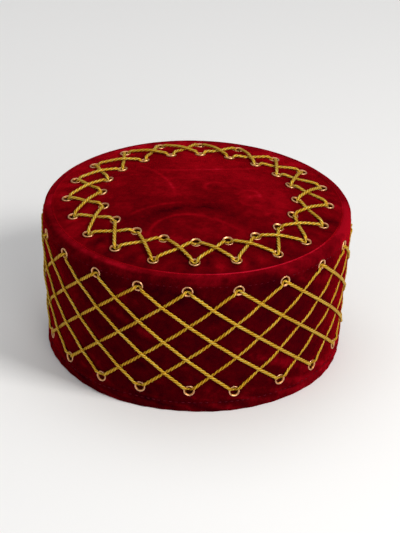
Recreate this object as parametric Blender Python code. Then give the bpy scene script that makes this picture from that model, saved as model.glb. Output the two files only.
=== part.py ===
"""A round brimless cap of crimson velvet, laced with gold cord through brass eyelets.

The cap stands on its rim, +Z up, with its origin at the middle of the rim's circle. Lengths are in
metres. Angles are in degrees, from the front (-Y) towards the right (+X). Each row of eyelets sits a
little round from the one below it, so an angle is given along a row and the row's own turn is added.
"""

import math
from collections import namedtuple

import bmesh
import bpy
import numpy as np
from mathutils import Matrix

for old in list(bpy.data.objects):
    bpy.data.objects.remove(old, do_unlink=True)

# Driving dimensions
EYELETS = 20  # in each of the four rows
WALL = 0.0025  # velvet on its stiffening
GAP = 0.0003  # between neighbouring pieces
SHOULDER_RADIUS = 0.0044  # rounding between band and crown
HEM_ROUNDING = 0.0006
SEAM_WIDTH = 0.0014  # raised ridge where the crown is sewn in
SEAM_RISE = 0.0011
CROWN_TOP = 0.1000  # height at the middle
CROWN_DROP = 0.0072  # from the middle to the outer eyelets
CROWN_POWER = 2.5  # how flat the middle of the dome is
EYELET_RADIUS = 0.00345
EYELET_HOLE_RADIUS = 0.0020
EYELET_CREST_RADIUS = 0.0027
EYELET_RISE = 0.0008
EYELET_SIDES = 10
CORD_RADIUS = 0.00115
CORD_SIDES = 5
SIDE_REACH = 3  # eyelets along from the upper to the lower end of a run on the band
CROWN_REACH = 1  # eyelets along from the outer to the inner end of a run on the crown

# Outside of the band, from the hem up
Section = namedtuple("Section", "height radius turn")
HEM = Section(0.0000, 0.0905, -0.9)
LOWER_ROW = Section(0.0134, 0.0903, -1.1)
MIDDLE = Section(0.0480, 0.0917, -1.7)
UPPER_ROW = Section(0.0829, 0.0932, -2.3)
SHOULDER = Section(0.0868, 0.0934, -2.3)
BAND = (HEM, LOWER_ROW, MIDDLE, UPPER_ROW, SHOULDER)

# Rings of the crown, from the seam inwards
Ring = namedtuple("Ring", "radius turn")
SEAM_RADIUS = SHOULDER.radius - SHOULDER_RADIUS - GAP
SEAM_FOOT = Ring(SEAM_RADIUS - SEAM_WIDTH, -2.0)
OUTER_ROW = Ring(0.0794, -0.1)
INNER_ROW = Ring(0.0592, -0.8)
CROWN = (SEAM_FOOT, OUTER_ROW, INNER_ROW, Ring(0.0330, -0.8))

# Heights of the cord's middle above the velvet, from its section with a flat side down
COLUMNS = 2 * EYELETS
COLUMN_ANGLE = 360 / COLUMNS
CORD_UNDERSIDE = CORD_RADIUS * math.cos(math.pi / CORD_SIDES)
UNDER_LEVEL = CORD_UNDERSIDE + GAP
OVER_LEVEL = UNDER_LEVEL + CORD_RADIUS + GAP + CORD_UNDERSIDE
LIP_LEVEL = EYELET_RISE + 2 * GAP + 1.6 * CORD_RADIUS
SEATED_LIP_LEVEL = EYELET_RISE + GAP + 0.8 * CORD_RADIUS
LIP_DISTANCE = EYELET_RADIUS + 0.0002


def material(name, colour, roughness, metallic=0.0):
    """A plain Principled BSDF material."""
    made = bpy.data.materials.new(name)
    made.use_nodes = True
    shader = made.node_tree.nodes["Principled BSDF"]
    shader.inputs["Base Color"].default_value = (*colour, 1.0)
    shader.inputs["Roughness"].default_value = roughness
    shader.inputs["Metallic"].default_value = metallic
    return made


VELVET_BAND = material("velvet_band", (0.23, 0.002, 0.010), 0.85)
VELVET_CROWN = material("velvet_crown", (0.27, 0.002, 0.012), 0.85)
GOLD_CORD = material("gold_cord", (0.55, 0.36, 0.06), 0.50)
BRASS = material("eyelet_brass", (0.72, 0.48, 0.24), 0.30, 1.0)


def add_object(name, mesh, finish):
    """Shades a mesh smooth with sharp creases kept, and puts it into the scene under its name."""
    made = bpy.data.objects.new(name, mesh)
    if not mesh.materials:
        mesh.materials.append(finish)
    mesh.shade_smooth()
    mesh.set_sharp_from_angle(angle=math.radians(40))
    bpy.context.scene.collection.objects.link(made)
    return made


def closed_mesh(name, points, faces):
    """A mesh from points and faces, with its faces turned outwards."""
    mesh = bpy.data.meshes.new(name)
    mesh.from_pydata([tuple(point) for point in points], [], faces)
    shape = bmesh.new()
    shape.from_mesh(mesh)
    bmesh.ops.recalc_face_normals(shape, faces=shape.faces)
    shape.to_mesh(mesh)
    shape.free()
    return mesh


def strip_faces(rows, columns, closed):
    """Quads between neighbouring rows of points, each row a ring; closed joins the last row to the first."""
    faces = []
    for row in range(rows if closed else rows - 1):
        here = row * columns
        above = (row + 1) % rows * columns
        for column in range(columns):
            after = (column + 1) % columns
            faces.append((here + column, here + after, above + after, above + column))
    return faces


def outwards(angle):
    """Unit vector away from the cap's axis at an angle in degrees."""
    turned = math.radians(angle)
    return np.array((math.sin(turned), -math.cos(turned), 0.0))


def ring_points(radius, height, turn):
    """One point of a turned outline for each column."""
    angles = [column * COLUMN_ANGLE + turn for column in range(COLUMNS)]
    return [outwards(angle) * radius + (0.0, 0.0, height) for angle in angles]


def arc(radius, start, end, steps):
    """Offsets (radius, height) along an arc of the shoulder, angles in degrees up from level."""
    angles = np.radians(np.linspace(start, end, steps))
    return [(radius * math.cos(angle), radius * math.sin(angle)) for angle in angles]


def add_band():
    """Lofts the upright wall: outside up to the seam, over the shoulder, and down the inside."""
    middle = SHOULDER.radius - SHOULDER_RADIUS
    rows = [(HEM.height, HEM.radius - HEM_ROUNDING, HEM.turn)]
    rows.append((HEM.height + HEM_ROUNDING, HEM.radius, HEM.turn))
    rows += [(part.height, part.radius, part.turn) for part in BAND[1:-1]]
    for out, up in arc(SHOULDER_RADIUS, 0, 90, 4):
        rows.append((SHOULDER.height + up, middle + out, SHOULDER.turn))
    for out, up in arc(SHOULDER_RADIUS - WALL, 90, 0, 2):
        rows.append((SHOULDER.height + up, middle + out, SHOULDER.turn))
    rows += [(part.height, part.radius - WALL, part.turn) for part in (LOWER_ROW, HEM)]
    points = []
    for height, radius, turn in rows:
        points += ring_points(radius, height, turn)
    mesh = closed_mesh("band", points, strip_faces(len(rows), COLUMNS, closed=True))
    return add_object("band", mesh, VELVET_BAND)


def dome(radius):
    """Height of the crown's upper side: a dome that is flat in the middle and steeper towards the seam."""
    return CROWN_TOP - CROWN_DROP * (radius / OUTER_ROW.radius) ** CROWN_POWER


def add_crown():
    """Lofts the domed disc from the middle of its underside, round the seam ridge, to the middle above."""
    rows = [(ring.radius, dome(ring.radius) - WALL, ring.turn) for ring in (CROWN[-1], OUTER_ROW)]
    edge_foot = dome(SEAM_RADIUS) - WALL
    ridge_top = dome(SEAM_FOOT.radius) + SEAM_RISE
    rows.append((SEAM_RADIUS, edge_foot, SHOULDER.turn))
    rows.append((SEAM_RADIUS, ridge_top - 0.4 * SEAM_RISE, SHOULDER.turn))
    rows.append((SEAM_RADIUS - SEAM_WIDTH / 2, ridge_top, SHOULDER.turn))
    rows += [(ring.radius, dome(ring.radius), ring.turn) for ring in CROWN]
    points = []
    for radius, height, turn in rows:
        points += ring_points(radius, height, turn)
    faces = strip_faces(len(rows), COLUMNS, closed=False)
    last_row = (len(rows) - 1) * COLUMNS
    for height, start in ((CROWN_TOP - WALL, 0), (CROWN_TOP, last_row)):
        middle = len(points)
        points.append(np.array((0.0, 0.0, height)))
        for column in range(COLUMNS):
            faces.append((start + column, start + (column + 1) % COLUMNS, middle))
    return add_object("crown", closed_mesh("crown", points, faces), VELVET_CROWN)


def facet(angle):
    """Share of a ring's radius that its straight facet keeps at an angle along the row."""
    off_middle = angle % COLUMN_ANGLE - COLUMN_ANGLE / 2
    return math.cos(math.radians(COLUMN_ANGLE / 2)) / math.cos(math.radians(off_middle))


def frame_matrix(point, side, normal):
    """Matrix that puts a piece's own +X along side and its +Z along normal, at a point."""
    normal = normal / np.linalg.norm(normal)
    upwards = np.cross(normal, side)
    columns = np.column_stack((side, upwards, normal, point))
    return np.vstack((columns, (0.0, 0.0, 0.0, 1.0)))


def on_band(angle, height):
    """Frame on the outside of the band at an angle along the row and a height."""
    heights = [part.height for part in BAND]
    radii = [part.radius for part in BAND]
    turned = angle + np.interp(height, heights, [part.turn for part in BAND])
    radius = np.interp(height, heights, radii) * facet(angle)
    reach = EYELET_RADIUS
    lean = np.interp(height + reach, heights, radii) - np.interp(height - reach, heights, radii)
    out = outwards(turned)
    point = out * radius + (0.0, 0.0, height)
    normal = out - np.array((0.0, 0.0, lean / (2 * reach)))
    return frame_matrix(point, outwards(turned + 90), normal)


def on_crown(angle, radius):
    """Frame on the upper side of the crown at an angle along the row and a radius."""
    rings = CROWN[::-1]
    radii = [ring.radius for ring in rings]
    heights = [dome(ring.radius) for ring in rings]
    turned = angle + np.interp(radius, radii, [ring.turn for ring in rings])
    reach = EYELET_RADIUS
    fall = np.interp(radius - reach, radii, heights) - np.interp(radius + reach, radii, heights)
    out = outwards(turned)
    point = out * radius + (0.0, 0.0, np.interp(radius, radii, heights))
    normal = np.array((0.0, 0.0, 1.0)) + out * fall / (2 * reach)
    return frame_matrix(point, outwards(turned + 90), normal)


def eyelet_mesh(name):
    """A round of metal with a sloped outside and a funnel-shaped hole, its underside one gap up."""
    profile = (
        (EYELET_HOLE_RADIUS, GAP),
        (EYELET_CREST_RADIUS, GAP + EYELET_RISE),
        (EYELET_RADIUS, GAP),
    )
    points = []
    for radius, height in profile:
        for side in range(EYELET_SIDES):
            points.append(outwards(side * 360 / EYELET_SIDES) * radius + (0.0, 0.0, height))
    return closed_mesh(name, points, strip_faces(len(profile), EYELET_SIDES, closed=True))


def add_side_eyelets():
    """Sets both rows of eyelets into the band, each as an object of its own on one shared mesh."""
    shared = eyelet_mesh("eyelet")
    for row, section in (("upper", UPPER_ROW), ("lower", LOWER_ROW)):
        for number in range(EYELETS):
            made = add_object(f"eyelet_{row}_{number + 1:02d}", shared, BRASS)
            made.matrix_world = Matrix(on_band(number * 360 / EYELETS, section.height))


def between_on_band(start, end, share):
    """Place on the band part of the way along a run, straight on the unrolled wall."""
    return [a + (b - a) * share for a, b in zip(start, end)]


def between_on_crown(start, end, share):
    """Place on the crown part of the way along a run, straight when seen from above."""
    flat = [outwards(angle) * radius for angle, radius in (start, end)]
    place = flat[0] + (flat[1] - flat[0]) * share
    off_start = place[:2] @ outwards(start[0] + 90)[:2], place[:2] @ outwards(start[0])[:2]
    return start[0] + math.degrees(math.atan2(*off_start)), float(np.linalg.norm(place))


def run_stations(surface, between, start, end, level, crossings, lips):
    """Frames and heights of one straight run of cord between two eyelets, without its far eyelet.

    start and end are (angle along the row, height or radius). level is the height above the velvet at
    the crossings, and lips the heights where the run passes over the first and the last eyelet's edge.
    """
    length = np.linalg.norm(surface(*end)[:3, 3] - surface(*start)[:3, 3])
    edge = LIP_DISTANCE / length
    shares = [(0.0, UNDER_LEVEL), (edge, lips[0])]
    shares += [(share, level) for share in crossings]
    shares += [(1.0 - edge, lips[1])]
    return [(surface(*between(start, end, share)), height) for share, height in shares]


def unit(vectors):
    """Each row of vectors at length one."""
    return vectors / np.linalg.norm(vectors, axis=1)[:, None]


def cord_mesh(name, stations):
    """A closed loop of cord with one flat side down, mitred where it turns inside an eyelet."""
    normals = np.array([frame[:3, 2] for frame, height in stations])
    heights = np.array([height for frame, height in stations])
    centres = np.array([frame[:3, 3] for frame, height in stations]) + normals * heights[:, None]
    ahead = unit(np.roll(centres, -1, axis=0) - centres)
    behind = np.roll(ahead, 1, axis=0)
    along = unit(ahead + behind)
    flat_ahead = unit(ahead - normals * (ahead * normals).sum(1)[:, None])
    flat_behind = unit(behind - normals * (behind * normals).sum(1)[:, None])
    mitre = 1.0 / (unit(flat_ahead + flat_behind) * flat_ahead).sum(1)
    side = unit(np.cross(along, normals))
    upwards = np.cross(side, along)
    points = []
    for centre, across, up, wide in zip(centres, side, upwards, mitre):
        for corner in range(CORD_SIDES):
            turned = 2 * math.pi * corner / CORD_SIDES
            offset = across * math.sin(turned) * wide + up * math.cos(turned)
            points.append(centre + offset * CORD_RADIUS)
    return closed_mesh(name, points, strip_faces(len(stations), CORD_SIDES, closed=True))


def add_side_lacing():
    """Two closed cords: each zigzags round the band, three eyelets along at every run."""
    pitch = 360 / EYELETS
    crossings = [share / (2 * SIDE_REACH) for share in range(1, 2 * SIDE_REACH)]
    lips = (LIP_LEVEL, LIP_LEVEL)
    wall = (on_band, between_on_band)
    for start, letter in enumerate("ab"):
        stations = []
        for step in range(EYELETS // 2):
            number = start + 2 * SIDE_REACH * step
            upper = (number * pitch, UPPER_ROW.height)
            lower = ((number + SIDE_REACH) * pitch, LOWER_ROW.height)
            back_up = ((number + 2 * SIDE_REACH) * pitch, UPPER_ROW.height)
            stations += run_stations(*wall, upper, lower, OVER_LEVEL, crossings, lips)
            stations += run_stations(*wall, lower, back_up, UNDER_LEVEL, crossings, lips)
        name = f"side_lacing_{letter}"
        add_object(name, cord_mesh(name, stations), GOLD_CORD)


def crown_eyelets(name, places):
    """The eyelets that one cord of the crown passes through, as a hidden part of it."""
    shape = bmesh.new()
    for place in places:
        single = eyelet_mesh(name)
        single.transform(Matrix(on_crown(*place)))
        shape.from_mesh(single)
        bpy.data.meshes.remove(single)
    joined = bpy.data.meshes.new(name)
    shape.to_mesh(joined)
    shape.free()
    made = add_object(name, joined, BRASS)
    made.hide_render = True
    made.display_type = "WIRE"
    return made


def add_crown_lacing():
    """Two closed cords on the crown, each seated on the edge of every eyelet that it passes through."""
    pitch = 360 / EYELETS
    crossing = OUTER_ROW.radius / (OUTER_ROW.radius + INNER_ROW.radius)
    lips = (LIP_LEVEL, SEATED_LIP_LEVEL)
    top = (on_crown, between_on_crown)
    for start, letter in enumerate("ab"):
        stations = []
        places = []
        for step in range(EYELETS // 2):
            number = start + 2 * CROWN_REACH * step
            outer = (number * pitch, OUTER_ROW.radius)
            inner = ((number + CROWN_REACH) * pitch, INNER_ROW.radius)
            back_out = ((number + 2 * CROWN_REACH) * pitch, OUTER_ROW.radius)
            stations += run_stations(*top, outer, inner, UNDER_LEVEL, [crossing], lips)
            stations += run_stations(*top, inner, back_out, OVER_LEVEL, [1 - crossing], lips)
            places += [outer, inner]
        name = f"crown_lacing_{letter}"
        lacing = add_object(name, cord_mesh(name, stations), GOLD_CORD)
        union = lacing.modifiers.new("seated eyelets", "BOOLEAN")
        union.operation = "UNION"
        union.object = crown_eyelets(f"crown_eyelets_{letter}", places)


add_band()
add_crown()
add_side_eyelets()
add_side_lacing()
add_crown_lacing()
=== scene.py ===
"""Looks of a round crimson velvet cap, laced with gold cord through brass eyelets.

Lengths are in metres. Angles run from the front (-Y) towards the right (+X).
"""

import math

import bpy
import numpy as np
from mathutils import Matrix, Vector


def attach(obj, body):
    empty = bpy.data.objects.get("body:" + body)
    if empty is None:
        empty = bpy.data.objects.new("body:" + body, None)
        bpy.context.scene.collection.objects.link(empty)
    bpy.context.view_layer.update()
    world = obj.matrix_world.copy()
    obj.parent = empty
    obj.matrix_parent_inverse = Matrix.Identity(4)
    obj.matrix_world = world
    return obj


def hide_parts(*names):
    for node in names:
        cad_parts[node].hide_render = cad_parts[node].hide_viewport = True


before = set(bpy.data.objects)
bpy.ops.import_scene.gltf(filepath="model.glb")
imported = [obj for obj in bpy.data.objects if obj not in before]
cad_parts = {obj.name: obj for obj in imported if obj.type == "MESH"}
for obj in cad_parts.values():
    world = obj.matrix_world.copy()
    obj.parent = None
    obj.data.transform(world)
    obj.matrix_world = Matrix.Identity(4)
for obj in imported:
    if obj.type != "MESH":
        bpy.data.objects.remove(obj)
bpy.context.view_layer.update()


# The band: one strip of crimson velvet on a stiff backing, joined into a ring. It is turned in at the hem,
# rises almost straight, and is drawn over a rounded shoulder into the crown's seam. The lacing pulls a
# dimple into it at every eyelet, and it swells a little in the lozenges between the cords.
EYELETS = 20
PITCH = 2 * math.pi / EYELETS
WALL = 0.0025
LOWER_HEIGHT = 0.0134
UPPER_HEIGHT = 0.0829
SHOULDER_FOOT = 0.0868
SHOULDER_ROUND = 0.0044
BAND_HEIGHTS = np.array([0.0, LOWER_HEIGHT, 0.0480, UPPER_HEIGHT, SHOULDER_FOOT])
BAND_RADII = np.array([0.0905, 0.0903, 0.0917, 0.0932, 0.0934])
BAND_TURNS = np.radians([-0.9, -1.1, -1.7, -2.3, -2.3])
SHOULDER_MIDDLE = BAND_RADII[-1] - SHOULDER_ROUND
TUCK_DEPTHS = (0.0008, 0.0022)
HEM_ROUND = 0.0012
HEM_STITCHES = 0.0062
HEM_GROOVE = 0.0004
HEM_GROOVE_REACH = 0.0011
PUCKERS = 46
PUCKER_DEPTH = 0.00022
PUCKER_HEIGHT = 0.0035
PUCKER_REACH = 0.0040
AROUND = 33 * EYELETS
HEM_ROWS = 6
WALL_ROWS = 92
SHOULDER_ROWS = 16
INSIDE_ROWS = 14
HOLE = 0.0021
POCKET_RADIUS = 1.10 * HOLE
POCKET_EDGE = 0.06 * HOLE
POCKET_DEPTH = 0.0014
DIMPLE_DEPTH = 0.0006
DIMPLE_REACH = 0.0050
SWELL = 0.0005
LUMPS = 0.0005

# The lattice: each run of cord goes STRIDE eyelets along, and holds the cloth down beside it.
STRIDE = 3
LATTICE_RADIUS = 0.092
HELD_REACH = 0.0035
FAR_FROM_CORDS = 0.005

# The maker set the eyelets by hand, and the photograph shows some of them off their even places. These were
# read on enlargements with the even eyelets drawn over them, to half a millimetre and 1.5 mm at most.
# Each has the eyelet's number from the front, then mm to the right along its row and mm up.
LOWER_SET = ((-3, 0.5, -1.0), (-2, 0.5, -1.5), (-1, -1.5, -0.5), (0, 0, 1.0), (1, -1.5, -0.5), (2, 0, 1.0),
             (3, -1.0, 0), (4, -0.5, 0.5))
UPPER_SET = ((-4, 0.5, -1.5), (-3, 0.5, 0), (-2, 0, -0.5), (-1, -0.5, -0.5), (0, -0.5, -0.5), (1, 0, -0.5),
             (3, 0.5, 0.5))


def from_nearest(value, pitch):
    """Signed distance of each value from the nearest multiple of pitch."""
    return (value + pitch / 2) % pitch - pitch / 2


def set_off(entries):
    """Metres along and across a row for each of its eyelets, from entries in mm. The others stay even."""
    moved = np.zeros((EYELETS, 2))
    for eyelet, along, across in entries:
        moved[eyelet] = along / 1000, across / 1000
    return moved


def from_eyelet(own, radius, across, moved):
    """Distance of each place from its nearest eyelet, with the eyelets set off their even places."""
    nearest = np.round(own / PITCH).astype(int) % EYELETS
    along = from_nearest(own, PITCH) * radius
    return np.hypot(along - moved[nearest, 0], across - moved[nearest, 1])


def bell(distance, reach):
    """A smooth hump: e to the minus square of distance over reach. It has faded at twice the reach."""
    return np.exp(-((distance / reach) ** 2))


def eyelet_dimple(distance):
    """Depth of the cloth round an eyelet: a bell for the dish, and a soft step for the pocket in the hole."""
    pocket = 1 / (1 + np.exp((distance - POCKET_RADIUS) / POCKET_EDGE))
    return DIMPLE_DEPTH * bell(distance, DIMPLE_REACH) + POCKET_DEPTH * pocket


def waviness(angle, along, seed):
    """Slow uneven lumps of hand-made work, about -1 to 1: six crossed waves of the angle and the length."""
    total = np.zeros(np.broadcast(angle, along).shape)
    for wave in range(1, 7):
        turns = 2 + (seed * wave * 7) % 9
        total += np.sin(turns * angle + 61.0 * wave * along + seed + 1.7 * wave) / (1 + 0.35 * wave)
    return total / 2.2


def new_piece(name, points, *faces):
    """A smooth object from points (..., 3) and arrays of faces, each array with its own number of corners."""
    flat = points.reshape(-1, 3)
    corners = np.concatenate([group.ravel() for group in faces])
    sizes = np.concatenate([np.full(len(group), group.shape[1]) for group in faces])
    mesh = bpy.data.meshes.new(name)
    mesh.vertices.add(len(flat))
    mesh.vertices.foreach_set("co", flat.astype(np.float32).ravel())
    mesh.loops.add(len(corners))
    mesh.loops.foreach_set("vertex_index", corners.astype(np.int32))
    mesh.polygons.add(len(sizes))
    mesh.polygons.foreach_set("loop_start", (np.cumsum(sizes) - sizes).astype(np.int32))
    mesh.update(calc_edges=True)
    mesh.shade_smooth()
    piece = bpy.data.objects.new(name, mesh)
    bpy.context.scene.collection.objects.link(piece)
    return piece


def closed_surface(name, points, cap_ends=False):
    """Quads over a grid of points (rows, columns, 3) whose columns close into a ring.

    The last row also joins the first, or with cap_ends each of the two has a fan to its own middle point.
    """
    rows, columns = points.shape[:2]
    index = np.arange(rows * columns).reshape(rows, columns)
    if not cap_ends:
        index = np.vstack((index, index[:1]))
    after = np.roll(index, -1, axis=1)
    quads = np.stack((index[:-1], after[:-1], after[1:], index[1:]), -1).reshape(-1, 4)
    if not cap_ends:
        return new_piece(name, points, quads)
    flat = np.vstack((points.reshape(-1, 3), points[0].mean(0), points[-1].mean(0)))
    first = np.stack((after[0], index[0], np.full(columns, len(flat) - 2)), -1)
    last = np.stack((index[-1], after[-1], np.full(columns, len(flat) - 1)), -1)
    return new_piece(name, flat, quads, first, last)


def store(piece, name, values):
    """Keeps one number for each point of a piece, for its material to read."""
    attribute = piece.data.attributes.new(name, "FLOAT", "POINT")
    attribute.data.foreach_set("value", np.ravel(values).astype(np.float32))


def band_profile():
    """The band's outline from the hem's inside edge, up the outside, over the shoulder and down inside.

    Returns rows of radius, height, the outward direction (two numbers) and the share of the cloth's relief,
    and the outside's radius as a function of height: a cubic through four known radii. The hem and the
    shoulder are arcs.
    """
    wall = np.poly1d(np.polyfit(BAND_HEIGHTS[:4], BAND_RADII[:4], 3))
    hem_turn = np.radians(np.linspace(-90, -10, HEM_ROWS))
    heights = np.linspace(HEM_ROUND, SHOULDER_FOOT, WALL_ROWS)
    arc_turn = np.radians(np.linspace(4, 96, SHOULDER_ROWS))
    slope = wall.deriv()(heights)
    outside = np.stack((wall(heights), heights, np.ones_like(heights), -slope, np.ones_like(heights)), 1)
    hem_middle = wall(HEM_ROUND) - HEM_ROUND
    hem = np.stack((hem_middle + HEM_ROUND * np.cos(hem_turn), HEM_ROUND + HEM_ROUND * np.sin(hem_turn),
                    np.cos(hem_turn), np.sin(hem_turn), np.cos(hem_turn)), 1)
    lift = wall(SHOULDER_FOOT) - BAND_RADII[-1]
    shoulder = np.stack((SHOULDER_MIDDLE + lift + SHOULDER_ROUND * np.cos(arc_turn),
                         SHOULDER_FOOT + SHOULDER_ROUND * np.sin(arc_turn),
                         np.cos(arc_turn), np.sin(arc_turn), np.cos(arc_turn)), 1)
    tuck = np.array([(shoulder[-1, 0] - 0.0002, shoulder[-1, 1] - depth, 0, 1, 0) for depth in TUCK_DEPTHS])
    inner_heights = np.linspace(SHOULDER_FOOT, HEM_ROUND, INSIDE_ROWS)
    nothing = np.zeros(INSIDE_ROWS)
    inside = np.stack((wall(inner_heights) - WALL, inner_heights, nothing - 1, nothing, nothing), 1)
    foot = np.array([(wall(0) - WALL + 0.0004, 0.0, 0, -1, 0)])
    return np.vstack((hem, outside, shoulder, tuck, inside, foot)), wall


lower_moved = set_off(LOWER_SET)
upper_moved = set_off(UPPER_SET)
profile, wall_radius = band_profile()
band_angle = np.arange(AROUND) * 2 * math.pi / AROUND
plain_radius, plain_height, normal_out, normal_up, relief = (column[:, None] for column in profile.T)


def row_angle(height):
    """How far round the rows sit at a height on the band, straight between the heights known."""
    return np.interp(height, BAND_HEIGHTS, BAND_TURNS)


def band_lie(angle, height):
    """Slow unevenness of the band, which the cords and eyelets on it follow."""
    return LUMPS * waviness(angle, height, 3)


def lattice_distance(angle, height):
    """Distance round the band to the nearest cord. Above and below the lattice it is taken as 5 mm.

    A run starts at a lower eyelet, off its even place as that is, and ends at an upper one, taken as even.
    """
    own = angle - row_angle(height)
    share = (height - LOWER_HEIGHT) / (UPPER_HEIGHT - LOWER_HEIGHT)
    row = np.arange(EYELETS + 1) * PITCH
    foot_moved = np.append(lower_moved[:, 0], lower_moved[0, 0])
    nearest = np.inf
    for way in (-1, 1):
        foot = own + way * STRIDE * PITCH * share
        moved = np.interp(foot % (2 * math.pi), row, foot_moved) * (1 - share)
        nearest = np.minimum(nearest, np.abs(from_nearest(foot, PITCH) * LATTICE_RADIUS - moved))
    return np.where((share > 0) & (share < 1), nearest, FAR_FROM_CORDS)


def band_relief(angle, height):
    """How far the band's cloth stands out from its plain wall at each angle and height."""
    own = angle - row_angle(height)
    radius_at = np.interp(height, BAND_HEIGHTS, BAND_RADII)
    out = band_lie(angle, height)
    for row, moved in ((LOWER_HEIGHT, lower_moved), (UPPER_HEIGHT, upper_moved)):
        out = out - eyelet_dimple(from_eyelet(own, radius_at, height - row, moved))
    out = out + SWELL * (1 - bell(lattice_distance(angle, height), HELD_REACH))
    out = out - HEM_GROOVE * bell(height - HEM_STITCHES, HEM_GROOVE_REACH)
    puckers = np.sin(PUCKERS * angle + 2.1 * np.sin(5 * angle)) * bell(height - PUCKER_HEIGHT, PUCKER_REACH)
    return out + PUCKER_DEPTH * puckers


raised = band_relief(band_angle[None, :], plain_height) * relief
placed_radius = plain_radius + normal_out * raised
placed_height = np.maximum(plain_height + normal_up * raised, 0)
band_points = np.stack((placed_radius * np.sin(band_angle), -placed_radius * np.cos(band_angle),
                        placed_height), -1)
band = closed_surface("band_velvet", band_points)


class Socket:
    """One socket of a material's node tree. Sums and products on it add Math nodes, and node() any other."""

    def __init__(self, tree, socket=None):
        self.tree = tree
        self.socket = socket

    def node(self, kind, settings=None, sockets=None, output=0):
        """Adds a node, with its settings first and then the values or links of its sockets."""
        made = self.tree.nodes.new("ShaderNode" + kind)
        for name, value in (settings or {}).items():
            if name == "stops":
                for _ in value[2:]:
                    made.color_ramp.elements.new(1.0)
                for stop, (place, colour) in zip(made.color_ramp.elements, value):
                    stop.position = place
                    stop.color = (*colour, 1)
            else:
                setattr(made, name, value)
        for name, value in (sockets or {}).items():
            if isinstance(value, Socket):
                self.tree.links.new(value.socket, made.inputs[name])
            else:
                made.inputs[name].default_value = value
        return Socket(self.tree, made.outputs[output])

    def math(self, operation, first, second=0.0, clamp=False):
        """A Math node on two values."""
        return self.node("Math", {"operation": operation, "use_clamp": clamp}, {0: first, 1: second})

    def __add__(self, other):
        return self.math("ADD", self, other)

    __radd__ = __add__

    def __sub__(self, other):
        return self.math("SUBTRACT", self, other)

    def __rsub__(self, other):
        return self.math("SUBTRACT", other, self)

    def __mul__(self, other):
        return self.math("MULTIPLY", self, other)

    __rmul__ = __mul__

    def clamped(self):
        """The value kept between 0 and 1."""
        return self.math("ADD", self, 0.0, clamp=True)

    def noise(self, scale, detail=3.0, rough=0.5, stretch=None):
        """Noise on the piece's own coordinates, scale in cells for each metre."""
        place = self.node("TexCoord", output=3)
        if stretch:
            place = self.node("Mapping", sockets={0: place, "Scale": stretch})
        return self.node("TexNoise", sockets={0: place, "Scale": scale, "Detail": detail, "Roughness": rough})

    def attribute(self, name):
        """One number kept for each point of the piece."""
        return self.node("Attribute", {"attribute_name": name}, output=2)

    def ramp(self, *stops):
        """Colours at places from 0 to 1 of this value."""
        return self.node("ValToRGB", {"stops": stops}, {0: self})

    def bump(self, strength, distance):
        """The surface's direction with this value as its height."""
        return self.node("Bump", sockets={"Strength": strength, "Distance": distance, "Height": self})


def new_material(name, colour):
    """A new material with a Principled shader. Returns it, its shader and a socket to build on."""
    made = bpy.data.materials.new(name)
    made.use_nodes = True
    made.diffuse_color = (*colour, 1)
    shader = made.node_tree.nodes["Principled BSDF"]
    shader.inputs["Base Color"].default_value = (*colour, 1)
    return made, shader, Socket(made.node_tree)


def link(shader, name, source):
    """Feeds one socket of a shader."""
    source.tree.links.new(source.socket, shader.inputs[name])


def velvet(name, dark, middle, light, bright):
    """Crimson velvet. The attribute it reads sets the colour from dark (0) to bright (1): the pile's own
    marks, with painted highlights, painted sheen and painted shade.
    """
    made, shader, start = new_material(name, middle)
    nap = start.attribute("nap")
    cloudy = start.noise(60, 4, 0.65)
    patchy = start.noise(150, 3, 0.6)
    mottled = start.noise(340, 3, 0.6)
    pile = start.noise(2600, 2, 0.6)
    lean = (nap + (cloudy - 0.5) * 0.55 + (patchy - 0.5) * 0.60 + (mottled - 0.5) * 0.40
            + (pile - 0.5) * 0.25).clamped()
    link(shader, "Base Color", lean.ramp((0.0, dark), (0.45, middle), (0.80, light), (1.0, bright)))
    link(shader, "Normal", (pile + mottled * 2.0).bump(0.45, 0.0005))
    shader.inputs["Roughness"].default_value = 0.9
    shader.inputs["Specular IOR Level"].default_value = 0.0
    shader.inputs["Sheen Weight"].default_value = 0.60
    shader.inputs["Sheen Roughness"].default_value = 0.29
    shader.inputs["Sheen Tint"].default_value = (0.85, 0.004, 0.012, 1)
    return made


# Where the band's pile is brighter or darker all round: a painted highlight along the shoulder's top and a
# broader one below it, a little darker along the upper eyelets, and painted shade in the crease at the hem's
# stitches; height, reach and strength. Then places that are brighter in the photograph, painted in as
# highlights on the left of the shoulder, the right of the hem and the right below the shoulder: the angle,
# its reach, and the same three.
LIGHT_AND_SHADE_LINES = ((0.0914, 0.0012, 0.30), (0.0885, 0.0036, 0.16), (0.0825, 0.0030, -0.05),
             (HEM_STITCHES, 0.0008, -0.12))
HIGHLIGHT_PLACES = ((-0.62, 0.38, 0.0906, 0.0006, 0.20), (0.85, 0.50, 0.0050, 0.0110, 0.33),
              (1.30, 0.24, 0.0850, 0.0065, 0.42))


def angle_bell(angle, middle, reach):
    """A bell round an angle, which may be counted past a full circle."""
    return bell(from_nearest(angle - middle, 2 * math.pi), reach)


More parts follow.
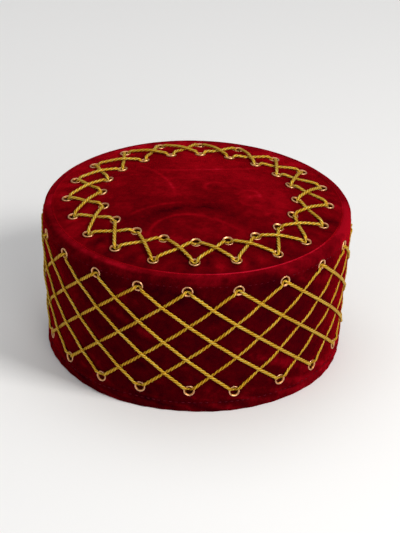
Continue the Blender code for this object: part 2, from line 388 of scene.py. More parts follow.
def band_nap_and_sheen(angle, height):
    """Lean of the band's pile: painted sheen on its right side, lumps between the cords, and streaks at the
    hem.
    """
    # The bell at 1.33 radians, on the right side, is painted sheen.
    nap = 0.35 + 0.10 * waviness(angle, height, 5) + 0.25 * angle_bell(angle, 1.33, 0.30)
    for level, reach, strength in LIGHT_AND_SHADE_LINES:
        nap = nap + strength * bell(height - level, reach)
    for middle, wide, level, reach, strength in HIGHLIGHT_PLACES:
        nap = nap + strength * angle_bell(angle, middle, wide) * bell(height - level, reach)
    # The lumps are lighter in the lozenges and darker beside the cords: pile pressed by the cords, and
    # painted shade next to them.
    lit = np.clip(waviness(3 * angle, 1.7 * height, 4), -0.2, 1)
    nap = nap + 0.24 * lit * (1 - bell(lattice_distance(angle, height), 0.0040))
    streaks = waviness(4 * angle, 9 * height, 11) + 0.6 * np.sin(23 * angle + 900 * height)
    return nap + 0.16 * streaks * bell(height - 0.0050, 0.0065)


store(band, "nap", band_nap_and_sheen(band_angle[None, :], np.broadcast_to(plain_height, raised.shape)))
band.data.materials.append(velvet("band_velvet", (0.012, 0.0001, 0.0016), (0.056, 0.0002, 0.0016),
                                  (0.15, 0.0008, 0.004), (0.26, 0.002, 0.008)))

# Inside, where the photograph shows nothing, band and crown are faced with plain dark red cotton.
lining, lining_shader, lining_start = new_material("lining_cotton", (0.10, 0.012, 0.014))
weave = lining_start.noise(1100, 2, 0.5, stretch=(1, 1, 0.35)) * 0.6 + lining_start.noise(90, 3, 0.5) * 0.4
link(lining_shader, "Base Color", weave.ramp((0.3, (0.055, 0.006, 0.008)), (0.7, (0.14, 0.018, 0.020))))
link(lining_shader, "Normal", weave.bump(0.3, 0.0003))
lining_shader.inputs["Roughness"].default_value = 0.85
lining_shader.inputs["Specular IOR Level"].default_value = 0.15


def face_rows(piece, material, first, last):
    """Gives the rows of a surface from first to before last a second material."""
    piece.data.materials.append(material)
    row = np.arange(len(piece.data.polygons)) // AROUND
    chosen = (row >= first) & (row < last)
    piece.data.polygons.foreach_set("material_index", chosen.astype(np.int32))


face_rows(band, lining, len(profile) - INSIDE_ROWS, len(profile))
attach(band, "root")
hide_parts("band")


# The crown: a round of the same velvet on stiffening, a shallow dome. Its edge is folded up and sewn to the
# band, which leaves a thin raised ridge, painted with a highlight brightest at its front right. Brushing left
# arcs and creases in its pile.
CROWN_TOP = 0.1000
CROWN_DROP = 0.0072
CROWN_POWER = 2.5
OUTER_RADIUS = 0.0794
INNER_RADIUS = 0.0592
CROWN_RADII = np.array([0.0, INNER_RADIUS, OUTER_RADIUS, 0.0873])
CROWN_TURNS = np.radians([-0.8, -0.8, -0.1, -2.0])
SEAM_RADIUS = SHOULDER_MIDDLE - 0.0003
RIDGE_WIDTH = 0.0014
RIDGE_RISE = 0.0008
RIDGE_MIDDLE = SEAM_RADIUS - RIDGE_WIDTH / 2
EDGE_INSIDE = 0.0853
TOP_OUTSIDE = 0.0850
INNERMOST = 0.0010
UNDER_ROWS = 14
EDGE_ROWS = 16
TOP_ROWS = 88
MIDDLE_NAP = 0.46

# The crown's eyelets off their even places, read in the same way as the band's: mm along the ring,
# counterclockwise from above, and mm outwards.
OUTER_SET = ((-9, 1.0, -0.5), (-7, 1.0, 0), (-6, 0.5, -0.5), (-5, 1.5, -0.5), (-4, 1.5, -1.5),
             (-3, 0.5, -0.5), (-2, -1.0, -1.0), (0, -0.5, -1.5), (1, -0.5, -1.5), (2, 1.0, 0),
             (4, -1.0, 0), (6, -1.5, 0), (7, -1.5, -1.0), (8, -1.5, -1.0))
INNER_SET = ((-6, -1.0, -0.5), (-5, -0.5, -1.0), (-4, 0, -0.5), (0, 0.5, 1.0), (1, 0.5, 1.0), (2, -0.5, 1.5),
             (3, -1.0, 1.5), (4, -1.5, 1.5), (5, -1.0, 0.5), (7, -1.0, -0.5))
outer_moved = set_off(OUTER_SET)
inner_moved = set_off(INNER_SET)


def dome(radius):
    """Height of the crown: its top, less a drop that grows with the radius to the power of 2.5."""
    return CROWN_TOP - CROWN_DROP * (radius / OUTER_RADIUS) ** CROWN_POWER


def ring_angle(radius):
    """How far round the rows sit at a radius on the crown, straight between the radii known."""
    return np.interp(radius, CROWN_RADII, CROWN_TURNS)


def clouds(angle, radius, waves, seed):
    """Lumps across the crown, about -1 to 1: six waves in plan that run different ways, waves in a metre."""
    across = radius * np.sin(angle)
    away = radius * np.cos(angle)
    total = np.zeros(np.broadcast(angle, radius).shape)
    for wave in range(1, 7):
        way = 2.4 * wave + seed
        ahead = across * math.cos(way) + away * math.sin(way)
        bent = 0.8 * np.sin(waves * (across * math.sin(way) - away * math.cos(way)) + seed)
        total += np.sin(waves * (0.6 + 0.22 * wave) * ahead + bent + 3.1 * wave) / (1 + 0.2 * wave)
    return total / 2.2


def crown_lie(angle, radius):
    """Slow unevenness of the crown and its swell between the rings of eyelets, which the cords follow."""
    swell = SWELL * bell(radius - (OUTER_RADIUS + INNER_RADIUS) / 2, 0.0070)
    return swell + LUMPS * clouds(angle, radius, 48.0, 2) * np.clip((SEAM_RADIUS - radius) / 0.008, 0, 1)


def crown_relief(angle, radius):
    """How far the crown's cloth stands up from the plain dome."""
    own = angle - ring_angle(radius)
    up = crown_lie(angle, radius)
    up = up + RIDGE_RISE * bell(radius - RIDGE_MIDDLE, RIDGE_WIDTH / 2)
    for row, moved in ((OUTER_RADIUS, outer_moved), (INNER_RADIUS, inner_moved)):
        up = up - eyelet_dimple(from_eyelet(own, radius, radius - row, moved))
    return up


under_radius = np.linspace(INNERMOST, SEAM_RADIUS, UNDER_ROWS)[:, None]
over_radius = np.concatenate((np.linspace(SEAM_RADIUS, EDGE_INSIDE, EDGE_ROWS),
                              np.linspace(TOP_OUTSIDE, INNERMOST, TOP_ROWS)))[:, None]
over_height = dome(over_radius) + crown_relief(band_angle[None, :], over_radius)
under_height = np.broadcast_to(dome(under_radius) - WALL, (UNDER_ROWS, AROUND))
crown_rows = np.vstack((under_radius, over_radius))
crown_points = np.stack((crown_rows * np.sin(band_angle), -crown_rows * np.cos(band_angle),
                         np.vstack((under_height, over_height))), -1)
crown = closed_surface("crown_velvet", crown_points, cap_ends=True)


# What brushing left in the pile: arcs through three places in plan (mm), width, and strength. The marks were
# picked by eye in the photograph. A scratch program turned their pixels into mm, and most places are its
# numbers, rounded.
BRUSHED_ARCS = (
    (((-20, 31), (7, 32), (36, 40)), 0.9, 0.28),
    (((-32, 35), (-21, 20), (-14, -2)), 1.3, 0.27),
    (((-37, -26), (-26, -19), (-10, -14)), 1.4, 0.27),
    (((-28, -50), (-18, -33), (1, -30)), 1.4, 0.36),
    (((1, -30), (13, -36), (23, -43)), 1.6, 0.22),
    (((-34, -36), (-12, -22), (8, -19)), 3.2, -0.20),
    (((8, -19), (18, -26), (27, -40)), 3.4, -0.10),
    (((5, 3), (6, 11), (12, 13)), 1.2, 0.24),
    (((25, -6), (32, 4), (38, -4)), 1.2, 0.22),
    (((25, -6), (31, -15), (38, -4)), 1.3, 0.20),
)
# Small places where it stands up or lies flat, mostly found in the same way: place in plan (mm), reach and
# strength.
RUBBED_PLACES = ((50, -9, 4, 0.20), (42, -24, 3, 0.17), (-3, 23, 3, 0.20), (-14, 2, 5, 0.08),
                 (-49, 12, 5, 0.20), (-1, 9, 5, -0.12), (-40, -44, 6, -0.10), (31, -5, 6, 0.10),
                 (12, -78, 5, 0.18), (-45, -20, 5, 0.14))


def arc_stroke(across, away, places, wide):
    """A soft stroke, a bell across the circle through three places, faded beyond the outer two of them."""
    (ax, ay), (bx, by), (cx, cy) = places
    turn = 2 * (ax * (by - cy) + bx * (cy - ay) + cx * (ay - by))
    a = ax * ax + ay * ay
    b = bx * bx + by * by
    c = cx * cx + cy * cy
    middle_x = (a * (by - cy) + b * (cy - ay) + c * (ay - by)) / turn
    middle_y = (a * (cx - bx) + b * (ax - cx) + c * (bx - ax)) / turn
    size = math.hypot(ax - middle_x, ay - middle_y)
    off = np.hypot(across - middle_x, away - middle_y) - size
    reach = math.hypot(cx - ax, cy - ay) / 2
    from_second = np.hypot(across - bx, away - by)
    return bell(off, wide) / (1 + np.exp((from_second - reach - 2) / 2.0))


def crown_nap_and_sheen(angle, radius):
    """Lean of the crown's pile: a painted highlight along the ridge, painted sheen that grows towards the
    back, painted shade round the ring of cords, and marks of brushing.
    """
    across = 1000 * radius * np.sin(angle)
    away = -1000 * radius * np.cos(angle)
    # The term in away is painted sheen: brighter towards the back, darker to the front.
    nap = 0.48 + 0.13 * clouds(angle, radius, 70.0, 7) + 0.0017 * away
    for places, wide, strength in BRUSHED_ARCS:
        nap = nap + strength * arc_stroke(across, away, places, wide)
    for x, y, reach, strength in RUBBED_PLACES:
        nap = nap + strength * bell(np.hypot(across - x, away - y), reach)
    streaks = waviness(7 * angle, 0.6 * radius, 3) + 0.5 * np.sin(41 * angle)
    nap = nap + 0.16 * streaks * bell(radius - 0.0815, 0.0060)
    # Painted shade round the ring of cords between the two rows of eyelets.
    nap = nap - 0.10 * bell(radius - 0.0700, 0.0085)
    # A painted highlight along the ridge, brightest at the front right and faint at the back.
    ridge_highlight = 0.10 + 0.66 * angle_bell(angle, 0.35, 0.95)
    return nap + ridge_highlight * bell(radius - RIDGE_MIDDLE, RIDGE_WIDTH / 2)


napped = crown_nap_and_sheen(band_angle[None, :], crown_rows)
store(crown, "nap", np.append(napped.ravel(), (MIDDLE_NAP, MIDDLE_NAP)))
# The crown's colours are about twice the band's for the same cloth: painted light, for a top that catches
# more of it.
crown.data.materials.append(velvet("crown_velvet", (0.026, 0.0001, 0.0014), (0.114, 0.0004, 0.0024),
                                   (0.24, 0.0012, 0.005), (0.40, 0.006, 0.020)))
face_rows(crown, lining, 0, UNDER_ROWS - 1)
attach(crown, "root")
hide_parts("crown")


# The stitching: crimson thread that fastens the backing, one line of small dashes just above the upper
# eyelets and one through the hem, each dash drawn into the pile at both ends.
SHOULDER_STITCHES = 0.0854
STITCH_PITCH = 0.0036
STITCH_LENGTH = 0.0024
STITCH_SECTIONS = 9
STITCH_SIDES = 6
THREAD_RADIUS = 0.00022
END_DIP = 0.0004
UNEVEN_PITCH = 0.0004
UNEVEN_LINE = 0.0002
SLOPE_STEP = 0.002
UP = np.array((0.0, 0.0, 1.0))


def unit(vectors):
    """The same directions at length 1."""
    return vectors / np.linalg.norm(vectors, axis=-1, keepdims=True)


def on_band(angle, height, above):
    """Points above the band's slow surface, and the surface's outward direction there."""
    own = angle + row_angle(height)
    out = np.stack((np.sin(own), -np.cos(own), np.zeros_like(own)), -1)
    distance = wall_radius(height) + band_lie(own, height)
    slope = (wall_radius(height + SLOPE_STEP) - wall_radius(height - SLOPE_STEP)) / (2 * SLOPE_STEP)
    facing = unit(out - slope[..., None] * UP)
    points = out * distance[..., None] + height[..., None] * UP
    return points + facing * above[..., None], facing


def stitch_row(name, height, lifted, clear):
    """A ring of short threads, each a row of circles that thins and dips at both ends.

    A thread that would come nearer to an upper eyelet's middle than clear is left out.
    """
    count = round(2 * math.pi * wall_radius(height) / STITCH_PITCH)
    share = np.linspace(-1, 1, STITCH_SECTIONS)
    side = np.arange(STITCH_SIDES) * 2 * math.pi / STITCH_SIDES
    middle = np.arange(count) * 2 * math.pi / count
    middle = middle + UNEVEN_PITCH * np.sin(37.0 * np.arange(count)) / wall_radius(height)
    middle = middle[from_eyelet(middle, wall_radius(height), 0, upper_moved) > clear]
    count = len(middle)
    thick = THREAD_RADIUS * np.sqrt(np.clip(1 - np.abs(share) ** 3, 0.02, 1))
    angle = middle[:, None, None] + share[None, :, None] * STITCH_LENGTH / 2 / wall_radius(height)
    angle = np.broadcast_to(angle, (count, STITCH_SECTIONS, STITCH_SIDES))
    level = height + thick[None, :, None] * np.sin(side) + UNEVEN_LINE * np.sin(11.0 * angle)
    above = thick[None, :, None] * np.cos(side) + lifted - END_DIP * (share[None, :, None] ** 4)
    points = on_band(angle, level, np.broadcast_to(above, angle.shape))[0]
    return loose_tubes(name, points[:, ::-1])


def loose_tubes(name, points):
    """One mesh of short closed tubes from points (tube, section, side, 3), with one face over each end."""
    tubes, sections, sides = points.shape[:3]
    index = np.arange(tubes * sections * sides).reshape(tubes, sections, sides)
    after = np.roll(index, -1, axis=2)
    quads = np.stack((index[:, :-1], after[:, :-1], after[:, 1:], index[:, 1:]), -1).reshape(-1, 4)
    return new_piece(name, points, quads, index[:, 0, ::-1], index[:, -1])


thread, thread_shader, thread_start = new_material("crimson_thread", (0.20, 0.004, 0.012))
ply = thread_start.noise(1500, 2, 0.5, stretch=(1, 1, 3))
link(thread_shader, "Base Color", ply.ramp((0.3, (0.03, 0.001, 0.002)), (0.7, (0.15, 0.008, 0.018))))
link(thread_shader, "Normal", ply.bump(0.4, 0.0001))
thread_shader.inputs["Roughness"].default_value = 0.7
thread_shader.inputs["Specular IOR Level"].default_value = 0.04
for name, height, lifted, clear in (("shoulder_stitches", SHOULDER_STITCHES, 0.0003, 0.0044),
                                    ("hem_stitches", HEM_STITCHES, 0.0001, 0)):
    stitches = stitch_row(name, height, lifted, clear)
    stitches.data.materials.append(thread)
    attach(stitches, "root")


# The eyelets: brass, pressed through the cloth, each with a rolled lip outside and a short barrel in the
# hole. The cords pull them a little askew.
EYELET_RADIUS = 0.00345
LIP_RISE = 0.0007
LIP_WIDTH = 0.00066
BARREL_DEPTH = 0.0015
BARREL_END = np.array((HOLE - 0.0003, -BARREL_DEPTH))
SUNK = 0.00030
EYELET_SIDES = 28
THROAT_FADE = 0.0005
BAND_LEAN = 0.06
UNEVEN_LEAN = 0.05


def eyelet_profile():
    """Radius and height round an eyelet's section: a narrow rolled lip, a throat into the hole, the back."""
    turn = np.radians(np.linspace(0, 120, 8))
    middle = EYELET_RADIUS - LIP_WIDTH / 2
    lip = np.stack((middle + LIP_WIDTH / 2 * np.cos(turn), LIP_RISE * np.sin(turn)), 1)
    down = np.linspace(0.2, 1, 5)[:, None]
    throat = lip[-1] + (BARREL_END - lip[-1]) * np.hstack((down ** 0.5, down ** 1.6))
    back = np.array(((HOLE - 0.0001, -BARREL_DEPTH), (HOLE + 0.0002, -0.0011),
                     (EYELET_RADIUS - 0.0002, -0.0009)))
    return np.vstack((lip, throat, back))


def set_eyelets(name, points, facing, tilt_towards, tilts, nodes):
    """Turns the section round each point's own axis, leaned by its tilt. A row is one piece of brass."""
    lean = unit(facing + tilt_towards * tilts[:, None])
    across = unit(np.cross(lean, UP + 0.3 * facing))
    along = np.cross(lean, across)
    section = eyelet_profile()
    turn = np.arange(EYELET_SIDES) * 2 * math.pi / EYELET_SIDES
    ring = across[:, None, :] * np.cos(turn)[None, :, None] + along[:, None, :] * np.sin(turn)[None, :, None]
    placed = (points[:, None, None] + ring[:, None] * section[None, :, None, :1]
              + lean[:, None, None] * section[None, :, None, 1:])
    count, rows, columns = placed.shape[:3]
    index = np.arange(count * rows * columns).reshape(count, rows, columns)
    below = np.roll(index, -1, axis=1)
    quads = np.stack((index, np.roll(index, -1, 2), np.roll(below, -1, 2), below), -1).reshape(-1, 4)
    piece = new_piece(name, placed, quads)
    inwards = np.clip((EYELET_RADIUS - LIP_WIDTH - section[:, 0]) / THROAT_FADE, 0, 1)
    crest = section[:, 1] / LIP_RISE - inwards
    store(piece, "crest", np.broadcast_to(crest[None, :, None], (count, rows, columns)))
    piece.data.materials.append(brass)
    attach(piece, "root")
    if nodes:
        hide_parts(*nodes)


brass, brass_shader, brass_start = new_material("eyelet_brass", (0.78, 0.50, 0.27))
crest = brass_start.attribute("crest")
tarnish = brass_start.noise(420, 3, 0.6)
worn = (crest * 0.45 + 0.30 + tarnish * 0.4).clamped()
link(brass_shader, "Base Color", worn.ramp((0.0, (0.09, 0.018, 0.001)), (0.5, (0.52, 0.22, 0.06)),
                                           (1.0, (0.80, 0.46, 0.25))))
link(brass_shader, "Roughness", 0.50 - 0.14 * worn)
link(brass_shader, "Normal", tarnish.bump(0.15, 0.0002))
brass_shader.inputs["Metallic"].default_value = 1.0

number = np.arange(EYELETS)
uneven = UNEVEN_LEAN * np.sin(2.3 * number)
seat = np.full(EYELETS, -SUNK)
for row, height, moved, pull in (("upper", UPPER_HEIGHT, upper_moved, -1.0),
                                 ("lower", LOWER_HEIGHT, lower_moved, 1.0)):
    points, facing = on_band(number * PITCH + moved[:, 0] / wall_radius(height), height + moved[:, 1], seat)
    nodes = [f"eyelet_{row}_{one + 1:02d}" for one in range(EYELETS)]
    set_eyelets(f"{row}_eyelets", points, facing, UP * pull, BAND_LEAN + uneven, nodes)


def on_crown(angle, radius, above):
    """Points above the crown's slow surface, and the direction that it faces there."""
    own = angle + ring_angle(radius)
    out = np.stack((np.sin(own), -np.cos(own), np.zeros_like(own)), -1)
    slope = (dome(radius + SLOPE_STEP) - dome(radius - SLOPE_STEP)) / (2 * SLOPE_STEP)
    facing = unit(UP - out * slope[..., None])
    level = dome(radius) + crown_lie(own, radius)
    points = out * radius[..., None] + level[..., None] * UP
    return points + facing * above[..., None], facing


for row, radius, moved, pull, lean in (("outer", OUTER_RADIUS, outer_moved, -1.0, 0.12),
                                       ("inner", INNER_RADIUS, inner_moved, 1.0, 0.16)):
    points, facing = on_crown(number * PITCH + moved[:, 0] / radius, radius + moved[:, 1], seat)
    out = unit(points * np.array((1.0, 1.0, 0.0)))
    set_eyelets(f"crown_{row}_eyelets", points, facing, out * pull, lean + uneven, ())


# The lacing: four closed cords of gold thread, three plies laid right-handed and pulled a little flat. Two
# zigzag round the band, three eyelets along at every run, and two round the crown, one along. Runs that fall
# to the right lie over those that rise. They turn back inside the eyelets. The colour carries painted shade
# in the grooves between plies and on the band's rising runs, and painted light on all of the crown's cords.
CORD_RADIUS = 0.00106
PLY_RADIUS = 0.00066
BAND_FLATNESS = 0.63
CROWN_FLATNESS = 0.85
LAY = 0.0090
SECTION_SIDES = 15
CORD_STEP = 0.00055
ROUTE_STEP = 0.00035
ROUTE_PASSES = 6
SIDE_PASSES = 3

# How far above the cloth a cord's middle lies: on an eyelet's lip, over or under another cord, and in a hole.
BAND_CREST = LIP_RISE - SUNK + CORD_RADIUS * BAND_FLATNESS
CROWN_CREST = LIP_RISE - SUNK + CORD_RADIUS * CROWN_FLATNESS
BAND_OVER = 0.00101
BAND_OVER_SAG = 0.00030
BAND_UNDER = -0.00027
BAND_UNDER_RISE = 0.00050
CROWN_OVER = 0.00194
CROWN_UNDER = 0.00020
TURN_DEPTH = -0.0013

# How far from a run's end the cord is on the lip, and has settled. In the hole it is narrower by SQUEEZE,
# goes in and out a little beside the eyelet's middle, and is pulled towards the rest of the lattice.
CREST_AT = 0.0030
SETTLED_AT = 0.0080
SQUEEZE = 0.26
SQUEEZE_REACH = 0.0022
TURN_REACH = 0.0006
BAND_PULL = 0.0004
CROWN_PULL = 0.0001
# How much darker the grooves between plies are painted: painted shade.
GROOVE_SHADE = 0.54


def eased(value, places, levels):
    """Runs through the levels at the places, and between two by the cubic that is flat at both."""
    places = np.asarray(places)
    levels = np.asarray(levels)
    which = np.clip(np.searchsorted(places, value) - 1, 0, len(places) - 2)
    share = np.clip((value - places[which]) / (places[which + 1] - places[which]), 0, 1)
    return levels[which] + (levels[which + 1] - levels[which]) * share * share * (3 - 2 * share)


def band_run(start, end, over):
    """Points of a run on the band: straight on the unrolled wall, over or under at every half pitch."""
    length = math.hypot((end[0] - start[0]) * BAND_RADII[2], end[1] - start[1])
    share = np.arange(0, 1, ROUTE_STEP / length)
    between = np.sin(2 * STRIDE * math.pi * share) ** 2
    level = BAND_OVER - BAND_OVER_SAG * between if over else BAND_UNDER + BAND_UNDER_RISE * between
    from_end = length * np.minimum(share, 1 - share)
    settled = eased(from_end, (CREST_AT, SETTLED_AT), (0, 1))
    above = np.where(from_end < CREST_AT, eased(from_end, (0, CREST_AT), (TURN_DEPTH, BAND_CREST)),
                     BAND_CREST + (level - BAND_CREST) * settled)
    angle = start[0] + (end[0] - start[0]) * share
    height = start[1] + (end[1] - start[1]) * share
    points, facing = on_band(angle, height, above)
    return points, facing, from_end


def crown_run(start, end, over):
    """Points of a run on the crown: straight from above, arched over or pressed under at its crossing."""
    flat = [np.array((math.sin(angle), -math.cos(angle))) * radius for angle, radius in (start, end)]
    length = float(np.linalg.norm(flat[1] - flat[0]))
    share = np.arange(0, 1, ROUTE_STEP / length)[:, None]
    place = flat[0] + (flat[1] - flat[0]) * share
    radius = np.linalg.norm(place, axis=1)
    ahead = np.array((math.cos(start[0]), math.sin(start[0])))
    out = np.array((math.sin(start[0]), -math.cos(start[0])))
    angle = start[0] + np.arctan2(place @ ahead, place @ out)
    crossing = start[1] / (start[1] + end[1]) * length
    along = share[:, 0] * length
    middle = CROWN_OVER if over else CROWN_UNDER
    above = eased(along, (0, CREST_AT, crossing, length - CREST_AT, length),
                  (TURN_DEPTH, CROWN_CREST, middle, CROWN_CREST, TURN_DEPTH))
    points, facing = on_crown(angle, radius, above)
    return points, facing, np.minimum(along, length - along)


def softened(values, passes):
    """A closed row of points, each moved to the mean of itself and its neighbours, several times over."""
    for _ in range(passes):
        values = 0.25 * np.roll(values, 1, 0) + 0.5 * values + 0.25 * np.roll(values, -1, 0)
    return values


def resampled(values, travelled, at):
    """Values of a closed route, known at the lengths travelled, taken at other lengths along it."""
    closed = np.concatenate((values, values[:1]))
    if values.ndim == 1:
        return np.interp(at, travelled, closed)
    return np.stack([np.interp(at, travelled, column) for column in closed.T], 1)


def side_and_up(points, facing):
    """Directions to the side of a closed route and up from the cloth, both square to the route."""
    forward = unit(np.roll(points, -1, 0) - np.roll(points, 1, 0))
    side = softened(np.cross(forward, facing), SIDE_PASSES)
    side = unit(side - forward * (side * forward).sum(1, keepdims=True))
    return side, np.cross(side, forward)


def ply_outline(corner):
    """Radius of a cord's section at each angle: three round plies with grooves between.

    At an angle from a ply's middle it is the distance to the far side of a circle off the cord's middle.
    """
    off_ply = from_nearest(corner, 2 * math.pi / 3)
    inset = CORD_RADIUS - PLY_RADIUS
    return inset * np.cos(off_ply) + np.sqrt(PLY_RADIUS ** 2 - (inset * np.sin(off_ply)) ** 2)


def laid_cord(name, runs, nodes, flatness, run_shades):
    """Sweeps the three-ply section along a closed route, turning it once for each lay.

    Flatness is its thickness as a share of its width. The last argument gives the painted shade added to the
    even and the odd runs; below zero it is painted light.
    """
    points = softened(np.vstack([run[0] for run in runs]), ROUTE_PASSES)
    facing = np.vstack([run[1] for run in runs])
    from_end = np.concatenate([run[2] for run in runs])
    run_shade = np.concatenate([np.full(len(run[2]), run_shades[number % 2]) for number, run in enumerate(runs)])
    steps = np.linalg.norm(np.roll(points, -1, 0) - points, axis=1)
    travelled = np.concatenate(((0.0,), np.cumsum(steps)))
    length = travelled[-1]
    count = round(length / CORD_STEP)
    at = np.arange(count) * length / count
    points, facing, from_end, run_shade = (resampled(values, travelled, at)
                                      for values in (points, facing, from_end, run_shade))
    side, up = side_and_up(points, facing)
    corner = np.arange(SECTION_SIDES) * 2 * math.pi / SECTION_SIDES
    outline = ply_outline(corner)
    lays = round(length / LAY * 3) / 3
    twist = corner[None, :] + 2 * math.pi * lays * at[:, None] / length
    squeezed = 1 - SQUEEZE + SQUEEZE * np.clip(from_end / SQUEEZE_REACH, 0, 1)
    reach = outline[None, :] * squeezed[:, None]
    swept = (points[:, None] + side[:, None] * (np.cos(twist) * reach)[..., None]
             + up[:, None] * (np.sin(twist) * reach * flatness)[..., None])
    shift = round(lays * SECTION_SIDES) % SECTION_SIDES
    piece = closed_cord(name, swept, shift)
    groove = np.broadcast_to(1 - (outline - outline.min()) / (outline.max() - outline.min()), twist.shape)
    # The colour is painted darker in the grooves between plies and on the shaded runs: painted shade, and
    # painted light where the run's share is below zero.
    store(piece, "dark", GROOVE_SHADE * groove + run_shade[:, None])
    piece.data.materials.append(gold)
    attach(piece, "root")
    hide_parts(*nodes)


def closed_cord(name, points, shift):
    """Quads round a cord whose last section meets its first turned by some corners, with a map of plies.

    The map runs three times across, once for each ply, and along in lays.
    """
    rows, columns = points.shape[:2]
    index = np.arange(rows * columns).reshape(rows, columns)
    index = np.vstack((index, np.roll(index[:1], -shift, axis=1)))
    after = np.roll(index, -1, axis=1)
    quads = np.stack((index[:-1], index[1:], after[1:], after[:-1]), -1).reshape(-1, 4)
    piece = new_piece(name, points, quads)
    across = np.arange(columns) * 3 / columns
    along = np.arange(rows)[:, None] * CORD_STEP / LAY
    wide, long = np.broadcast_arrays(across[None, :], along)
    next_wide = wide + 3 / columns
    next_long = long + CORD_STEP / LAY
    corners = np.stack((np.stack((wide, long), -1), np.stack((wide, next_long), -1),
                        np.stack((next_wide, next_long), -1), np.stack((next_wide, long), -1)), 2)
    piece.data.uv_layers.new(name="plies").uv.foreach_set("vector", corners.astype(np.float32).ravel())
    return piece


gold, gold_shader, gold_start = new_material("gold_cord", (0.50, 0.33, 0.06))
plies = gold_start.node("UVMap", {"uv_map": "plies"})
across = plies.node("SeparateXYZ", sockets={0: plies})
along = plies.node("SeparateXYZ", sockets={0: plies}, output=1)
# The attribute dark carries painted shade in the grooves and on the band's rising runs, and painted light on
# the crown's cords.
dark = gold_start.attribute("dark")
fibres = gold_start.math("SINE", (across * 3 + along * 23) * (2 * math.pi)) * 0.5 + 0.5
shade = gold_start.noise(140, 3, 0.6)
lit = (0.72 - dark + fibres * 0.18 + (shade - 0.5) * 0.7).clamped()
link(gold_shader, "Base Color", lit.ramp((0.0, (0.15, 0.042, 0.0006)), (0.42, (0.49, 0.225, 0.0026)),
                                          (0.60, (0.535, 0.325, 0.010)), (1.0, (0.62, 0.51, 0.13))))
link(gold_shader, "Normal", (fibres - dark).bump(0.5, 0.00012))
gold_shader.inputs["Roughness"].default_value = 0.40
gold_shader.inputs["Metallic"].default_value = 0.45
gold_shader.inputs["Specular IOR Level"].default_value = 0.35
gold_shader.inputs["Specular Tint"].default_value = (1.0, 0.76, 0.34, 1)


def turning_place(eyelet, side, radius, across, moved):
    """Angle, and height or radius, at which a cord goes into an eyelet (side -1) or comes out again (1)."""
    along, off = moved[eyelet % EYELETS]
    return eyelet * PITCH + (along + side * TURN_REACH) / radius, across + off


def band_places(eyelet, side):
    """A cord's places at an upper eyelet and at a lower one, both pulled a little towards the lattice."""
    return (turning_place(eyelet, side, BAND_RADII[3], UPPER_HEIGHT - BAND_PULL, upper_moved),
            turning_place(eyelet, side, BAND_RADII[1], LOWER_HEIGHT + BAND_PULL, lower_moved))


def crown_places(eyelet, side):
    """A cord's places at an outer and at an inner eyelet of the crown, both pulled a little together."""
    return (turning_place(eyelet, side, OUTER_RADIUS, OUTER_RADIUS - CROWN_PULL, outer_moved),
            turning_place(eyelet, side, INNER_RADIUS, INNER_RADIUS + CROWN_PULL, inner_moved))


# Each second cord starts one eyelet further round than the first.
for start, letter in enumerate("ab"):
    side_runs = []
    crown_runs = []
    for step in range(EYELETS // 2):
        top = start + 2 * STRIDE * step
        side_runs += [band_run(band_places(top, 1)[0], band_places(top + STRIDE, -1)[1], True),
                      band_run(band_places(top + STRIDE, 1)[1], band_places(top + 2 * STRIDE, -1)[0], False)]
        outer = start + 2 * step
        crown_runs += [crown_run(crown_places(outer, 1)[0], crown_places(outer + 1, -1)[1], False),
                       crown_run(crown_places(outer + 1, 1)[1], crown_places(outer + 2, -1)[0], True)]
    # On the band the rising runs get painted shade; the crown's cords all get painted light, for the top
    # light that reaches them.
    laid_cord(f"band_cord_{letter}", side_runs, [f"side_lacing_{letter}"], BAND_FLATNESS, (0.0, 0.08))
    laid_cord(f"crown_cord_{letter}", crown_runs, [f"crown_lacing_{letter}"], CROWN_FLATNESS, (-0.04, -0.04))


# The stage: a pale floor that curves up behind, one strong soft light from the upper right, weaker ones from
# the left, from above and from the front, and the camera at the photograph's height and angle.
CAMERA_DISTANCE = 1.30
CAMERA_RISE = math.radians(29.03)
CAMERA_ROLL = math.radians(1.70)
FOCAL_PIXELS = 2103.34
FRAME_HEIGHT = 533
SENSOR = 36.0
LOOK_HEIGHT = 0.040
SHIFT_RIGHT = 4.60
SHIFT_DOWN = 11.64
LIT_HEIGHT = 0.06
FLOOR_REACH = 2.0
FLOOR_SIDE = 3.0
FLOOR_CURVE = 1.2
FLAT_SHARE = 0.6


def soft_light(name, place, size, power, colour):
    """A square area light that faces the middle of the cap."""
    data = bpy.data.lights.new(name, "AREA")
    data.size = size
    data.energy = power
    data.color = colour
    light = bpy.data.objects.new(name, data)
    light.location = place
    aim = Vector((0, 0, LIT_HEIGHT)) - light.location
    light.rotation_euler = aim.to_track_quat("-Z", "Y").to_euler()
    bpy.context.scene.collection.objects.link(light)


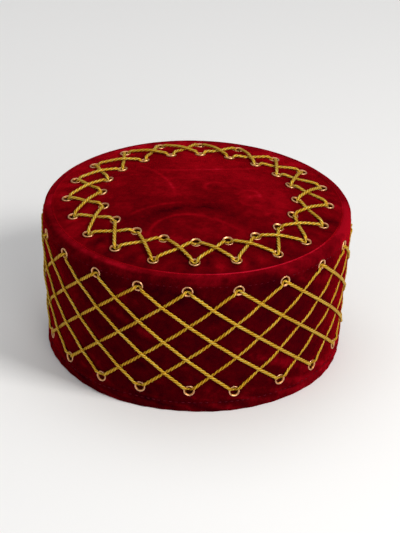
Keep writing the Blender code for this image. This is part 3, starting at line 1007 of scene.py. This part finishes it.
soft_light("key", (1.0, -0.6, 1.1), 0.45, 17, (1.0, 0.98, 0.95))
soft_light("fill", (-1.4, -0.9, 0.9), 1.2, 3.4, (0.95, 0.97, 1.0))
soft_light("top", (-0.1, 0.6, 1.6), 1.2, 5.6, (1.0, 1.0, 1.0))
soft_light("front", (0.5, -1.5, 0.75), 0.6, 5.4, (1.0, 0.99, 0.97))

sweep = np.linspace(0, 1, 40)
bend = np.clip((sweep - FLAT_SHARE) / (1 - FLAT_SHARE), 0, 1) * math.pi / 2
floor_y = FLOOR_REACH * (2 * np.minimum(sweep / FLAT_SHARE, 1) - 1) + FLOOR_CURVE * np.sin(bend)
floor_z = FLOOR_CURVE * (1 - np.cos(bend))
grid_x, grid_y = np.meshgrid(np.linspace(-FLOOR_SIDE, FLOOR_SIDE, 13), floor_y)
floor_points = np.stack((grid_x, grid_y, np.broadcast_to(floor_z[:, None], grid_x.shape)), -1)
index = np.arange(grid_x.size).reshape(grid_x.shape)
floor_quads = np.stack((index[:-1, :-1], index[:-1, 1:], index[1:, 1:], index[1:, :-1]), -1).reshape(-1, 4)
floor = new_piece("floor", floor_points, floor_quads)
paper, paper_shader, _ = new_material("pale_paper", (0.86, 0.86, 0.86))
paper_shader.inputs["Roughness"].default_value = 0.9
floor.data.materials.append(paper)

bpy.context.scene.view_settings.view_transform = "Standard"
world = bpy.data.worlds.new("studio")
world.use_nodes = True
world.node_tree.nodes["Background"].inputs["Color"].default_value = (1.0, 1.0, 1.0, 1)
world.node_tree.nodes["Background"].inputs["Strength"].default_value = 0.36
bpy.context.scene.world = world

lens = bpy.data.cameras.new("camera")
lens.sensor_width = SENSOR
lens.lens = FOCAL_PIXELS * SENSOR / FRAME_HEIGHT
lens.shift_x = SHIFT_RIGHT / FRAME_HEIGHT
lens.shift_y = SHIFT_DOWN / FRAME_HEIGHT
camera = bpy.data.objects.new("camera", lens)
camera.location = (0, -CAMERA_DISTANCE * math.cos(CAMERA_RISE),
                   LOOK_HEIGHT + CAMERA_DISTANCE * math.sin(CAMERA_RISE))
aim = Vector((0, 0, LOOK_HEIGHT)) - camera.location
turned = aim.to_track_quat("-Z", "Y").to_matrix()
roll = Matrix.Rotation(CAMERA_ROLL, 3, "Z")
camera.rotation_euler = (turned @ roll).to_euler()
bpy.context.scene.collection.objects.link(camera)
bpy.context.scene.camera = camera
